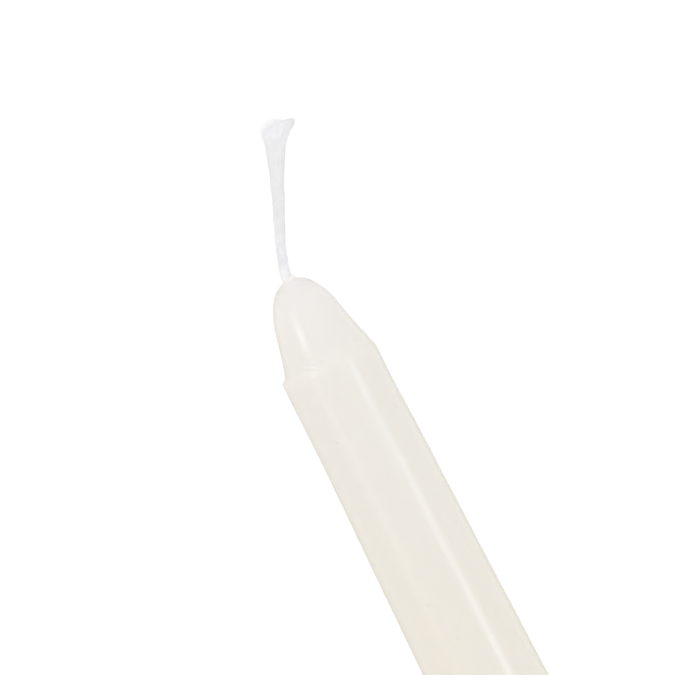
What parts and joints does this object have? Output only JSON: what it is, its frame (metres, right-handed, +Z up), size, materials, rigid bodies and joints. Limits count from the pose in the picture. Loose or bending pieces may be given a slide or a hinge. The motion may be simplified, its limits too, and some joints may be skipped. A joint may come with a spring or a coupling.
{
  "type": "taper candle",
  "caption": "Unlit white taper candle: a slender moulded wax body with a bell-shaped tip, a fine shoulder ring, a straight foot for a holder's cup, and a leaning cotton wick.",
  "frame": {"origin": "centre of the candle's flat foot", "axes": "+Z up the candle towards its wick; +X is the side that the wick leans to"},
  "size_m": [0.022, 0.022, 0.2706],
  "materials": {
    "wax": "paraffin wax, moulded, satin and slightly translucent",
    "cotton": "bleached cotton braid, dry at its open end and waxed where it leaves the candle"
  },
  "bodies": {
    "root": {"wax_body": "wax", "wick": "cotton"}
  },
  "joints": []
}
